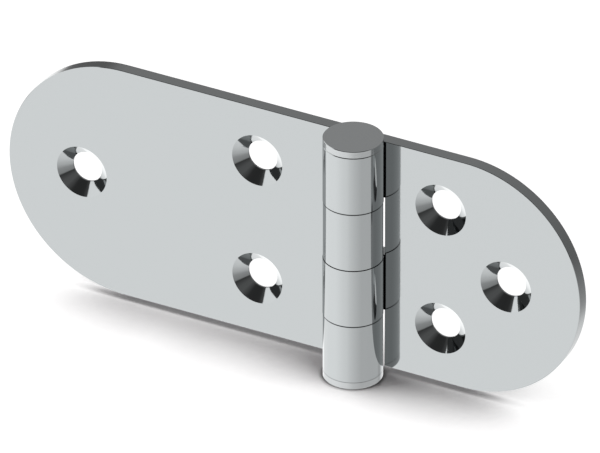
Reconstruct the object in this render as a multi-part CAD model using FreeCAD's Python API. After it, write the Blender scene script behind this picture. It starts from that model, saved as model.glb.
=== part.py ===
# Surface-mounted leaf hinge in polished stainless sheet, shown opened flat.
# Each leaf and its two knuckles are one piece of sheet, curled round the pin.
# Origin: on the pin's axis at half the leaf height. +Z runs up the pin, +X along the short leaf,
# and -Y is the front, where the barrel stands proud and the screws go in.

import FreeCAD, Part

import math
import os

from FreeCAD import Vector

# Sheet and leaves, in millimetres
leaf_height = 38.0  # along the pin
sheet_thickness = 2.0
long_leaf_reach = 58.6  # pin axis to the far end
short_leaf_reach = 35.9
edge_break = 0.06  # chamfer along the leaf's rim

# Pin, its flat head, and the cap its lower end is riveted into
pin_radius = 2.42
pin_gap = 0.05  # radial, between the pin and the knuckles that turn on it
disc_thickness = 1.05  # head and cap alike
disc_edge_break = 0.06  # chamfer on the rim that shows
head_gap = 0.1  # axial, between the head and the knuckle that turns under it
rivet_flare = 0.4  # how far the riveted end spreads, and how deep into the cap

# Knuckles and the roll of the sheet
knuckle_count = 4  # the first from the top is the short leaf's, and then they take turns
knuckle_gap = 0.15  # axial, between neighbouring knuckles
back_clearance = 0.15  # the barrel's back stays this far in front of the mounting surface
roll_start = 3.0  # from the pin's axis to where the flat leaf begins to curl
curl_tip_gap = 0.35  # between the curled end and the leaf's front face
notch_gap = 0.2  # between a knuckle and the edge of the notch it turns in

# Screw holes, countersunk from the front
screw_hole_radius = 2.4
countersink_radius = 4.15
countersink_angle = 90.0
screw_pair_spacing = 20.0  # between the two holes beside the barrel
long_leaf_pair_distance = 17.25  # pin axis to that pair
short_leaf_pair_distance = 13.0
end_screw_margin = 12.15  # from the leaf's far end to the single hole

# Worked out from the values above
barrel_radius = pin_radius + pin_gap + sheet_thickness
back_face = barrel_radius + back_clearance
front_face = back_face - sheet_thickness
half_height = leaf_height / 2
knuckle_pitch = leaf_height / knuckle_count
head_bottom = half_height + head_gap
cap_bottom = -half_height - disc_thickness
short_leaf_slots = range(0, knuckle_count, 2)
long_leaf_slots = range(1, knuckle_count, 2)

overrun = 2.0  # how far a cutting tool passes the surface it cuts
tiny = 1e-6  # two lengths that differ by less are the same

up = Vector(0, 0, 1)
rearward = Vector(0, 1, 0)


def polar(radius, angle):
    """Point of the XY plane at an angle in radians from +X."""
    return Vector(radius * math.cos(angle), radius * math.sin(angle), 0)


def arc(centre, radius, start, end):
    """Arc in the XY plane between two angles in radians, either way round."""
    points = [centre + polar(radius, a) for a in (start, (start + end) / 2, end)]
    return Part.Arc(*points).toShape()


def line(start, end):
    return Part.LineSegment(start, end).toShape()


def rolled_section(bore_radius, reach):
    """Section of the sheet across the pin: flat leaf, a wide bend, then the curl round the pin.

    The wide bend touches the flat leaf where it starts to curl, and the curl itself where the two
    circles have one tangent, so the polished surface runs on without a crease.
    """
    outer_radius = bore_radius + sheet_thickness
    set_back = back_face - outer_radius
    centre_offset = (roll_start**2 + set_back**2) / (2 * set_back)
    bend_centre = Vector(roll_start, set_back - centre_offset, 0)
    curl_start = math.atan2(centre_offset - set_back, -roll_start)
    curl_tip = 2 * math.pi + math.asin((front_face - curl_tip_gap) / outer_radius)
    origin = Vector(0, 0, 0)
    straight_up = math.pi / 2
    outer_bend = outer_radius + centre_offset
    inner_bend = bore_radius + centre_offset
    edges = [
        line(Vector(reach, back_face, 0), Vector(roll_start, back_face, 0)),
        arc(bend_centre, outer_bend, straight_up, curl_start),
        arc(origin, outer_radius, curl_start, curl_tip),
        line(polar(outer_radius, curl_tip), polar(bore_radius, curl_tip)),
        arc(origin, bore_radius, curl_tip, curl_start),
        arc(bend_centre, inner_bend, curl_start, straight_up),
        line(Vector(roll_start, front_face, 0), Vector(reach, front_face, 0)),
        line(Vector(reach, front_face, 0), Vector(reach, back_face, 0)),
    ]
    return Part.Face(Part.Wire(edges))


def leaf_outline(reach):
    """Prism with the leaf's outline seen from the front: a strip with a half-round far end."""
    arc_centre = reach - half_height
    inner_end = -barrel_radius - overrun
    corners = [(arc_centre, half_height), (inner_end, half_height),
               (inner_end, -half_height), (arc_centre, -half_height)]
    points = [Vector(x, -barrel_radius - overrun, z) for x, z in corners]
    round_end = Part.Arc(points[3], Vector(reach, points[0].y, 0), points[0]).toShape()
    straight = [line(points[i], points[i + 1]) for i in range(3)]
    outline = Part.Face(Part.Wire(straight + [round_end]))
    return outline.extrude(rearward * (back_face + barrel_radius + 2 * overrun))


def notch(slot):
    """Room for one knuckle of the other leaf, whose place is counted from the top.

    The curl is gone over the whole height of the notch, and the flat leaf as far as its edge.
    """
    top = half_height - slot * knuckle_pitch
    bottom = top - knuckle_pitch
    top += overrun if slot == 0 else knuckle_gap / 2
    bottom -= overrun if slot == knuckle_count - 1 else knuckle_gap / 2
    swing_radius = barrel_radius + notch_gap
    notch_edge = math.sqrt(swing_radius**2 - front_face**2)
    reach_past = barrel_radius + overrun
    corner = Vector(-reach_past, -reach_past, bottom)
    curl_depth = reach_past + front_face - curl_tip_gap / 2
    curl = Part.makeBox(2 * reach_past, curl_depth, top - bottom, corner)
    root = Part.makeBox(reach_past + notch_edge, 2 * reach_past, top - bottom, corner)
    return curl.fuse(root)


def screw_hole(x, z):
    """Through hole with a conical countersink that opens to the front."""
    slope = math.tan(math.radians(countersink_angle / 2))
    mouth = countersink_radius + overrun * slope
    depth = overrun + (countersink_radius - screw_hole_radius) / slope
    start = Vector(x, front_face - overrun, z)
    cone = Part.makeCone(mouth, screw_hole_radius, depth, start, rearward)
    shank = Part.makeCylinder(screw_hole_radius, sheet_thickness + 2 * overrun, start, rearward)
    return cone.fuse(shank)


def on_rim(edge, reach):
    """True for the edges between one of the leaf's two flat faces and its outline."""
    middle = edge.valueAt((edge.FirstParameter + edge.LastParameter) / 2)
    from_arc_centre = math.hypot(middle.x - reach + half_height, middle.z)
    on_face = min(abs(middle.y - front_face), abs(middle.y - back_face)) < tiny
    on_side = abs(abs(middle.z) - half_height) < tiny
    on_round_end = abs(from_arc_centre - half_height) < tiny
    return on_face and (on_side or on_round_end)


def rolled_leaf(bore_radius, reach, pair_distance, own_slots):
    """One leaf, drawn towards +X, with its own knuckles and the notches for the other leaf's."""
    blank = rolled_section(bore_radius, reach + overrun).extrude(up * (leaf_height + 2 * overrun))
    blank.translate(up * -(half_height + overrun))
    leaf = blank.common(leaf_outline(reach))
    cutters = [notch(slot) for slot in range(knuckle_count) if slot not in own_slots]
    for z in (-screw_pair_spacing / 2, screw_pair_spacing / 2):
        cutters.append(screw_hole(pair_distance, z))
    cutters.append(screw_hole(reach - end_screw_margin, 0))
    leaf = leaf.cut(cutters).removeSplitter()
    return leaf.makeChamfer(edge_break, [edge for edge in leaf.Edges if on_rim(edge, reach)])


def disc(radius, bottom, eased_height):
    """Flat disc, with the rim at one height eased."""
    body = Part.makeCylinder(radius, disc_thickness, up * bottom)
    rim = [e for e in body.Edges if all(abs(v.Z - eased_height) < tiny for v in e.Vertexes)]
    return body.makeChamfer(disc_edge_break, rim)


def pin_shank():
    """The pin from its head down to the riveted end, which spreads into the cap."""
    length = head_bottom - cap_bottom
    shank = Part.makeCylinder(pin_radius, length, up * cap_bottom)
    flare = Part.makeCone(pin_radius + rivet_flare, pin_radius, rivet_flare, up * cap_bottom)
    return shank.fuse(flare)


def hinge_pin():
    """Pin through all the knuckles, with a flat head as wide as the knuckle under it."""
    head = disc(barrel_radius, head_bottom, head_bottom + disc_thickness)
    return pin_shank().fuse(head).removeSplitter()


def end_cap():
    """Cap flush with the lowest knuckle, which grips the pin, and bored for its riveted end."""
    return disc(pin_radius + sheet_thickness, cap_bottom, cap_bottom).cut(pin_shank())


def long_leaf():
    """The long leaf runs to -X, and its knuckles grip the pin."""
    leaf = rolled_leaf(pin_radius, long_leaf_reach, long_leaf_pair_distance, long_leaf_slots)
    return leaf.mirror(Vector(0, 0, 0), Vector(1, 0, 0))


def short_leaf():
    """The short leaf runs to +X, and its knuckles turn on the pin."""
    bore_radius = pin_radius + pin_gap
    return rolled_leaf(bore_radius, short_leaf_reach, short_leaf_pair_distance, short_leaf_slots)


pieces = {
    "long_leaf": long_leaf(),
    "short_leaf": short_leaf(),
    "hinge_pin": hinge_pin(),
    "end_cap": end_cap(),
}

os.makedirs("parts", exist_ok=True)
for name, shape in pieces.items():
    solid = shape.Solids[0]
    solid.exportStep(f"parts/{name}.step")
    print(f"{name}: {len(shape.Solids)} solid, valid {solid.isValid()}, {solid.Volume:.1f} mm3")
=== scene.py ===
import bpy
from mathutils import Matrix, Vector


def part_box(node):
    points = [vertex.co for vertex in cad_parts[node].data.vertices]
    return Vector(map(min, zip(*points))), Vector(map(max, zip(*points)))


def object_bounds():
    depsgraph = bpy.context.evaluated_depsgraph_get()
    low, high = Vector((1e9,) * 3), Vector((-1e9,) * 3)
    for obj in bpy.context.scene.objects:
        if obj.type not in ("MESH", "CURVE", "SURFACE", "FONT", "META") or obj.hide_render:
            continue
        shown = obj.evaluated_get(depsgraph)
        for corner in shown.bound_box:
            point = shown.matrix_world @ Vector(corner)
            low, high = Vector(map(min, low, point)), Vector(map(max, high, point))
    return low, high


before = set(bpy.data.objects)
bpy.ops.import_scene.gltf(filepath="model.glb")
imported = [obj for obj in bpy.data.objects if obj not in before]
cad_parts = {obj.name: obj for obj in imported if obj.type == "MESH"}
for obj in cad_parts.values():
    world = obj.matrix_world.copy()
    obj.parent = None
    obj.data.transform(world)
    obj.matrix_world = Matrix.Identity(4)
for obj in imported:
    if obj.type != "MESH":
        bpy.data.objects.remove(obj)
cadBox = [list(corner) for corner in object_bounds()]

import math

import bpy
from mathutils import Vector

mm = 0.001
noiseSpread = (0.3, 0.7)  # nearly all of a noise texture's values lie between these


def toLinear(hexColour):
    # sRGB hex to the linear values that a shader takes
    steps = [int(hexColour[i:i + 2], 16) / 255 for i in (1, 3, 5)]
    return [c / 12.92 if c <= 0.04045 else ((c + 0.055) / 1.055) ** 2.4 for c in steps] + [1.0]


def addNode(tree, kind, inputs=None, **settings):
    # an input takes a plain value or the output of another node
    node = tree.nodes.new(kind)
    for name, value in settings.items():
        setattr(node, name, value)
    for name, value in (inputs or {}).items():
        if isinstance(value, bpy.types.NodeSocket):
            tree.links.new(value, node.inputs[name])
        else:
            node.inputs[name].default_value = value
    return node


def aimed(azimuth, elevation):
    # unit vector, azimuth counted from +X towards +Y, both in degrees
    a, e = math.radians(azimuth), math.radians(elevation)
    return Vector((math.cos(a) * math.cos(e), math.sin(a) * math.cos(e), math.sin(e)))


def setUp(name, data, s):
    # a camera or a lamp at its place, turned to its target
    thing = bpy.data.objects.new(name, data)
    bpy.context.scene.collection.objects.link(thing)
    place = Vector(s["place"]) * mm
    look = Vector(s["target"]) * mm - place
    thing.location = place
    thing.rotation_euler = look.to_track_quat("-Z", "Y").to_euler()
    return thing


# Camera, far off with a long lens, because the photo shows hardly any perspective
cameraSettings = {
    "place": (1205.27, -2279.33, 1533.64),  # mm, as is the rest
    "target": (-7.865, -1.697, 3.701),
    "lens": 1234.62,
    "sensor": 36.0,
    "clip": (100.0, 20000.0),
}


def makeCamera(s):
    data = bpy.data.cameras.new("camera")
    data.lens = s["lens"]
    data.sensor_width = s["sensor"]
    data.clip_start, data.clip_end = [distance * mm for distance in s["clip"]]
    bpy.context.scene.camera = setUp("camera", data, s)


makeCamera(cameraSettings)
bpy.context.scene.view_settings.view_transform = "Standard"
print("camera set")


# Studio: what polished steel mirrors depends on direction alone, so it stays put in any view
studio = {
    "whiteLevel": 1.0,  # what the camera sees behind the floor
    "diffuseLevel": 0.045,  # fill light on anything that is not metal
    "bounceDimming": 0.53,  # what is left of the light each time steel mirrors other steel
    # height of the direction (its z), and the level there, in front and behind
    "frontLevels": [(-1.0, 0.85), (-0.8, 0.78), (-0.62, 0.66), (-0.5, 0.60), (-0.3, 0.38),
                    (-0.02, 0.30), (0.05, 0.05), (0.35, 0.11), (0.55, 0.115), (0.7, 0.06),
                    (0.745, 0.035), (0.85, 0.028), (1.0, 0.028)],
    "backLevels": [(-1.0, 1.0), (-0.66, 1.0), (-0.57, 0.58), (-0.5, 0.5), (-0.42, 0.44),
                   (-0.34, 0.37), (-0.24, 0.28), (-0.12, 0.22), (0.0, 0.25), (0.3, 0.28),
                   (0.52, 0.29), (0.66, 0.29), (1.0, 0.3)],
    "behind": (-0.1, 0.35),  # the direction's y, from all front to all back
    "acrossBack": (1.3, 0.75),  # the back's level times this, from left to right
    # Soft-edged cards over that, each over the ones before it. A limit has the azimuth and
    # elevation to measure from, where (0, 90) is straight up, the cosines at which the card
    # starts and is full, and how it fades between them.
    "cards": [
        {"name": "broad glow low on the left", "level": 1.08,
         "limits": [((-160, -10), -0.45, 0.85, "LINEAR"), ((0, 90), -0.05, -0.45, "SMOOTHSTEP")]},
        {"name": "glow low behind", "level": 1.0,
         "limits": [((110, -35), 0.75, 0.95, "SMOOTHSTEP"), ((0, 90), -0.05, -0.45, "SMOOTHSTEP")]},
        {"name": "hot spot low behind on the left", "level": 1.25,
         "limits": [((130, -31), 0.9, 0.985, "SMOOTHSTEP")]},
        {"name": "card straight in front", "level": 1.05,
         "limits": [((-88, -4), 0.865, 0.97, "SMOOTHSTEP")]},
        {"name": "grey patch low in front on the right", "level": 0.34,
         "limits": [((-57, -13), 0.955, 0.985, "SMOOTHSTEP")]},
        {"name": "card behind on the right", "level": 0.65,
         "limits": [((25, -14), 0.9, 0.96, "SMOOTHSTEP"), ((0, 90), -0.45, -0.36, "SMOOTHSTEP")]},
        {"name": "card low on the right", "level": 0.6,
         "limits": [((23, -31), 0.87, 0.95, "SMOOTHSTEP")]},
        {"name": "dark gap behind on the left", "level": 0.17,
         "limits": [((130, 3), 0.885, 0.96, "SMOOTHSTEP"), ((0, 90), -0.2, -0.08, "SMOOTHSTEP")]},
        {"name": "upright panel on the left", "level": 1.05,
         "limits": [((123, 0), -0.02, 0.03, "SMOOTHSTEP"), ((-105, 0), -0.1, 0.1, "SMOOTHSTEP"),
                    ((0, 90), -0.15, 0.0, "SMOOTHSTEP"), ((0, 90), 0.68, 0.63, "SMOOTHSTEP")]},
    ],
}


def makeWorld(s):
    world = bpy.data.worlds.new("studioWorld")
    world.use_nodes = True
    tree = world.node_tree
    tree.nodes.clear()
    direction = addNode(tree, "ShaderNodeTexCoord").outputs["Generated"]
    parts = addNode(tree, "ShaderNodeSeparateXYZ", {0: direction}).outputs

    # one level by height for the front, and one for the back
    height = addNode(tree, "ShaderNodeMapRange", {0: parts["Z"], 1: -1.0, 2: 1.0}).outputs[0]
    byHeight = []
    for stops in (s["frontLevels"], s["backLevels"]):
        ramp = addNode(tree, "ShaderNodeValToRGB", {0: height})
        elements = ramp.color_ramp.elements
        elements.remove(elements[1])
        for index, (z, level) in enumerate(stops):
            element = elements[0] if index == 0 else elements.new((z + 1) / 2)
            element.position = (z + 1) / 2
            element.color = (level, level, level, 1.0)
        byHeight.append(ramp.outputs["Color"])
    front, back = byHeight
    left, right = s["acrossBack"]
    across = addNode(tree, "ShaderNodeMapRange",
                     {0: parts["X"], 1: -1.0, 2: 1.0, 3: left, 4: right}).outputs[0]
    back = addNode(tree, "ShaderNodeMath", {0: back, 1: across}, operation="MULTIPLY").outputs[0]
    start, full = s["behind"]
    behind = addNode(tree, "ShaderNodeMapRange", {0: parts["Y"], 1: start, 2: full},
                     interpolation_type="SMOOTHSTEP").outputs[0]
    lit = addNode(tree, "ShaderNodeMix", {0: behind, 2: front, 3: back},
                  data_type="FLOAT").outputs[0]

    # a card covers the directions that are inside all of its limits
    for card in s["cards"]:
        share = 1.0
        for aim, start, full, fade in card["limits"]:
            cosine = addNode(tree, "ShaderNodeVectorMath", {0: direction, 1: aimed(*aim)},
                             operation="DOT_PRODUCT").outputs["Value"]
            inside = addNode(tree, "ShaderNodeMapRange", {0: cosine, 1: start, 2: full},
                             interpolation_type=fade).outputs[0]
            share = addNode(tree, "ShaderNodeMath", {0: share, 1: inside},
                            operation="MULTIPLY").outputs[0]
        lit = addNode(tree, "ShaderNodeMix", {0: share, 2: lit, 3: card["level"]},
                      data_type="FLOAT").outputs[0]

    # steel mirrors those levels, and the camera sees plain white
    path = addNode(tree, "ShaderNodeLightPath").outputs
    bounces = addNode(tree, "ShaderNodeMath", {0: path["Glossy Depth"], 1: 1.0},
                      operation="SUBTRACT").outputs[0]
    bounces = addNode(tree, "ShaderNodeMath", {0: bounces, 1: 0.0}, operation="MAXIMUM").outputs[0]
    dimming = addNode(tree, "ShaderNodeMath", {0: s["bounceDimming"], 1: bounces},
                      operation="POWER").outputs[0]
    mirrored = addNode(tree, "ShaderNodeMath", {0: lit, 1: dimming}, operation="MULTIPLY").outputs[0]
    level = addNode(tree, "ShaderNodeMix",
                    {0: path["Is Glossy Ray"], 2: s["diffuseLevel"], 3: mirrored},
                    data_type="FLOAT").outputs[0]
    direct = addNode(tree, "ShaderNodeMath",
                     {0: path["Is Camera Ray"], 1: path["Is Transmission Ray"]},
                     operation="MAXIMUM").outputs[0]
    level = addNode(tree, "ShaderNodeMix", {0: direct, 2: level, 3: s["whiteLevel"]},
                    data_type="FLOAT").outputs[0]
    sky = addNode(tree, "ShaderNodeBackground", {"Color": toLinear("#FFFFFF"), "Strength": level})
    addNode(tree, "ShaderNodeOutputWorld", {"Surface": sky.outputs[0]})
    bpy.context.scene.world = world


makeWorld(studio)

# Matt white paper with no gloss at all. Its soft shadow is partly the lamp's and partly painted
# shadow, from how much open sky each spot has
floorSettings = {
    "halfSize": 1500.0,  # mm
    "colour": "#F7F1F2",
    "whiteLift": 0.95,  # extra for the camera alone, so that open floor is white
    "shadowReach": 28.0,  # mm, how near the object starts to take that extra away again
    "shadowOpen": (0.415, 0.745),  # share of open sky where nothing and all of the extra is left
    # painted contact shadow: the paper's colour is darkened where the object nearly touches it
    "paintedContactShadowReach": 1.2,  # mm, for the dark line where the object nearly touches the floor
    "paintedContactShadowOpen": (0.5, 0.85),  # share of open sky where that line is darkest and where it ends
    "paintedContactShadowDark": 0.12,  # what is left of the floor's colour where it is darkest
    "skySamples": 12,
}


def makeFloor(s):
    size = s["halfSize"] * mm
    mesh = bpy.data.meshes.new("floor")
    corners = [(-size, -size, 0), (size, -size, 0), (size, size, 0), (-size, size, 0)]
    mesh.from_pydata(corners, [], [(0, 1, 2, 3)])
    floor = bpy.data.objects.new("floor", mesh)
    bpy.context.scene.collection.objects.link(floor)
    floor.location.z = cadBox[0][2]
    paper = bpy.data.materials.new("mattWhitePaper")
    paper.use_nodes = True
    tree = paper.node_tree
    tree.nodes.clear()
    nearSky, wideSky = [addNode(tree, "ShaderNodeAmbientOcclusion", {"Distance": s[reach] * mm},
                                samples=s["skySamples"]).outputs["AO"]
                        for reach in ("paintedContactShadowReach", "shadowReach")]
    # painted contact shadow: the paper's colour darkens where little open sky is left close by
    start, full = s["paintedContactShadowOpen"]
    paintedContactShadow = addNode(tree, "ShaderNodeMapRange",
                      {0: nearSky, 1: start, 2: full, 3: s["paintedContactShadowDark"], 4: 1.0}).outputs[0]
    colour = addNode(tree, "ShaderNodeVectorMath", {0: toLinear(s["colour"])[:3], "Scale": paintedContactShadow},
                     operation="SCALE").outputs[0]
    matt = addNode(tree, "ShaderNodeBsdfDiffuse", {"Color": colour})
    # painted shadow: the camera's extra white fades out as the object hides more of the sky around a
    # spot, and fades further with the painted contact shadow
    start, full = s["shadowOpen"]
    lift = addNode(tree, "ShaderNodeMapRange",
                   {0: wideSky, 1: start, 2: full, 3: 0.0, 4: s["whiteLift"]}).outputs[0]
    path = addNode(tree, "ShaderNodeLightPath").outputs
    for share in (path["Is Camera Ray"], paintedContactShadow):
        lift = addNode(tree, "ShaderNodeMath", {0: lift, 1: share}, operation="MULTIPLY").outputs[0]
    glow = addNode(tree, "ShaderNodeEmission", {"Strength": lift})
    both = addNode(tree, "ShaderNodeAddShader", {0: matt.outputs[0], 1: glow.outputs[0]})
    addNode(tree, "ShaderNodeOutputMaterial", {"Surface": both.outputs[0]})
    mesh.materials.append(paper)
    floor.visible_glossy = False  # the world's levels already say what the steel mirrors below


makeFloor(floorSettings)

# One wide lamp overhead for the floor and its shadow. The steel doesn't mirror it.
lampSettings = {
    "place": (-320, -150, 420),  # mm
    "target": (0, 0, -20),
    "sides": (700, 800),
    "watts": 0.78,
}


def makeLamp(s):
    data = bpy.data.lights.new("overheadLamp", "AREA")
    data.shape = "RECTANGLE"
    data.size, data.size_y = [side * mm for side in s["sides"]]
    data.energy = s["watts"]
    lamp = setUp("overheadLamp", data, s)
    lamp.visible_glossy = False


makeLamp(lampSettings)
print("studio built")


def startSteel(name):
    # steel keeps the shader's usual IOR
    material = bpy.data.materials.new(name)
    material.use_nodes = True
    shader = material.node_tree.nodes["Principled BSDF"]
    shader.inputs["Metallic"].default_value = 1.0
    return material, material.node_tree, shader


def pinDistance(tree, place):
    # distance from the pin's axis, which is the frame's Z axis
    flat = addNode(tree, "ShaderNodeVectorMath", {0: place, 1: (1.0, 1.0, 0.0)},
                   operation="MULTIPLY").outputs[0]
    return addNode(tree, "ShaderNodeVectorMath", {0: flat}, operation="LENGTH").outputs["Value"]


def withoutSigns(tree, vector):
    # the vector's X, Y and Z as plain sizes, which are the same on both sides of the hinge
    sizes = addNode(tree, "ShaderNodeVectorMath", {0: vector}, operation="ABSOLUTE").outputs[0]
    return addNode(tree, "ShaderNodeSeparateXYZ", {0: sizes}).outputs


# Mirror-polished stainless sheet. The buffed faces reflect like a slightly tired mirror, with
# faint lines along the sheet and round the barrel. The cut outline is duller and a shade darker,
# and a thin dark line of painted shade lies on both sides of the two outer seams.
sheetSettings = {
    "colour": "#C8CCCD",
    "roughness": (0.05, 0.075),  # between the buffing lines and in them
    "lineSpacing": 0.4,  # mm; real ones are some ten times finer, and wouldn't show
    "lineLength": 16.0,  # mm
    "lineDepth": 0.0003,  # mm
    "lineDetail": 3.0,
    "cutColour": "#B1B4B5",
    "cutRoughness": 0.16,
    "cutFacing": 0.5,  # an outline's wall is where the normal's Y is under this
    "endFacing": 0.8,  # a knuckle's end, or a wall that faces up or down, has a Z over this
    "barrelReach": 6.0,  # mm from the pin's axis, inside which no outline is cut
    # painted shade: a thin dark line on both sides of the two outer seams, not a real edge
    "paintedSeamShadeColour": "#8A8D8E",
    "paintedSeamShadeWidth": 0.05,  # mm
    "paintedSeamShadeReach": 4.6,  # mm from the pin's axis
    "seamWidth": 0.15,  # mm
}


def makeSheetSteel(s):
    material, tree, shader = startSteel("mirrorPolishedStainlessSheet")
    spot = addNode(tree, "ShaderNodeTexCoord").outputs
    facing = withoutSigns(tree, spot["Normal"])
    place = withoutSigns(tree, spot["Object"])

    along, across = 1 / (s["lineLength"] * mm), 1 / (s["lineSpacing"] * mm)
    stretched = addNode(tree, "ShaderNodeVectorMath", {0: spot["Object"], 1: (along, along, across)},
                        operation="MULTIPLY").outputs[0]
    lines = addNode(tree, "ShaderNodeTexNoise",
                    {"Vector": stretched, "Scale": 1.0, "Detail": s["lineDetail"]},
                    noise_dimensions="3D").outputs["Fac"]
    low, high = noiseSpread
    smooth, rough = s["roughness"]
    buffed = addNode(tree, "ShaderNodeMapRange",
                     {0: lines, 1: low, 2: high, 3: smooth, 4: rough}).outputs[0]

    # cut where the wall stands square to the pin, or to the leaf's face beyond the barrel
    square = addNode(tree, "ShaderNodeMath", {0: facing["Y"], 1: s["cutFacing"]},
                     operation="LESS_THAN").outputs[0]
    beyond = addNode(tree, "ShaderNodeMath", {0: place["X"], 1: s["barrelReach"] * mm},
                     operation="GREATER_THAN").outputs[0]
    outline = addNode(tree, "ShaderNodeMath", {0: square, 1: beyond}, operation="MULTIPLY").outputs[0]
    ends = addNode(tree, "ShaderNodeMath", {0: facing["Z"], 1: s["endFacing"]},
                   operation="GREATER_THAN").outputs[0]
    cut = addNode(tree, "ShaderNodeMath", {0: outline, 1: ends}, operation="MAXIMUM").outputs[0]

    # painted shade on both sides of the outer seams, which lie one knuckle above and below the middle
    onBarrel = addNode(tree, "ShaderNodeMath",
                       {0: pinDistance(tree, spot["Object"]), 1: s["paintedSeamShadeReach"] * mm},
                       operation="LESS_THAN").outputs[0]
    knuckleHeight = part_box("long_leaf")[1][2] / 2
    lip = (s["seamWidth"] / 2 + s["paintedSeamShadeWidth"]) * mm
    atSeam = addNode(tree, "ShaderNodeMath", {0: place["Z"], 1: knuckleHeight, 2: lip},
                     operation="COMPARE").outputs[0]
    paintedSeamShade = addNode(tree, "ShaderNodeMath", {0: onBarrel, 1: atSeam}, operation="MULTIPLY").outputs[0]

    colour = toLinear(s["colour"])
    for share, name in ((cut, "cutColour"), (paintedSeamShade, "paintedSeamShadeColour")):
        colour = addNode(tree, "ShaderNodeMix", {0: share, 6: colour, 7: toLinear(s[name])},
                         data_type="RGBA").outputs[2]
    roughness = addNode(tree, "ShaderNodeMix", {0: cut, 2: buffed, 3: s["cutRoughness"]},
                        data_type="FLOAT").outputs[0]
    relief = addNode(tree, "ShaderNodeBump", {"Height": lines, "Distance": s["lineDepth"] * mm})
    tree.links.new(colour, shader.inputs["Base Color"])
    tree.links.new(roughness, shader.inputs["Roughness"])
    tree.links.new(relief.outputs[0], shader.inputs["Normal"])
    return material


# Turned stainless bar. The lathe leaves fine rings round the axis on the side and on the flat
# faces, so the head and the cap shine softer than the leaves.
barSettings = {
    "colour": "#CED1D2",
    "roughness": (0.1, 0.18),  # between the rings and in them
    "ringSpacing": 0.3,  # mm; a real finishing cut leaves some five times finer ones
    "ringDepth": 0.0003,  # mm
    "ringDetail": 2.0,
}


def makeBarSteel(s):
    material, tree, shader = startSteel("turnedStainlessBar")
    spot = addNode(tree, "ShaderNodeTexCoord").outputs["Object"]
    height = addNode(tree, "ShaderNodeSeparateXYZ", {0: spot}).outputs["Z"]
    feed = addNode(tree, "ShaderNodeMath", {0: pinDistance(tree, spot), 1: height},
                   operation="ADD").outputs[0]
    rings = addNode(tree, "ShaderNodeTexNoise",
                    {"W": feed, "Scale": 1 / (s["ringSpacing"] * mm), "Detail": s["ringDetail"]},
                    noise_dimensions="1D").outputs["Fac"]
    low, high = noiseSpread
    smooth, rough = s["roughness"]
    turned = addNode(tree, "ShaderNodeMapRange",
                     {0: rings, 1: low, 2: high, 3: smooth, 4: rough}).outputs[0]
    relief = addNode(tree, "ShaderNodeBump", {"Height": rings, "Distance": s["ringDepth"] * mm})
    shader.inputs["Base Color"].default_value = toLinear(s["colour"])
    tree.links.new(turned, shader.inputs["Roughness"])
    tree.links.new(relief.outputs[0], shader.inputs["Normal"])
    return material


sheetSteel = makeSheetSteel(sheetSettings)
barSteel = makeBarSteel(barSettings)
for name, material in (("long_leaf", sheetSteel), ("short_leaf", sheetSteel),
                       ("hinge_pin", barSteel), ("end_cap", barSteel)):
    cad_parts[name].data.materials.clear()
    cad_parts[name].data.materials.append(material)
print("steel on")
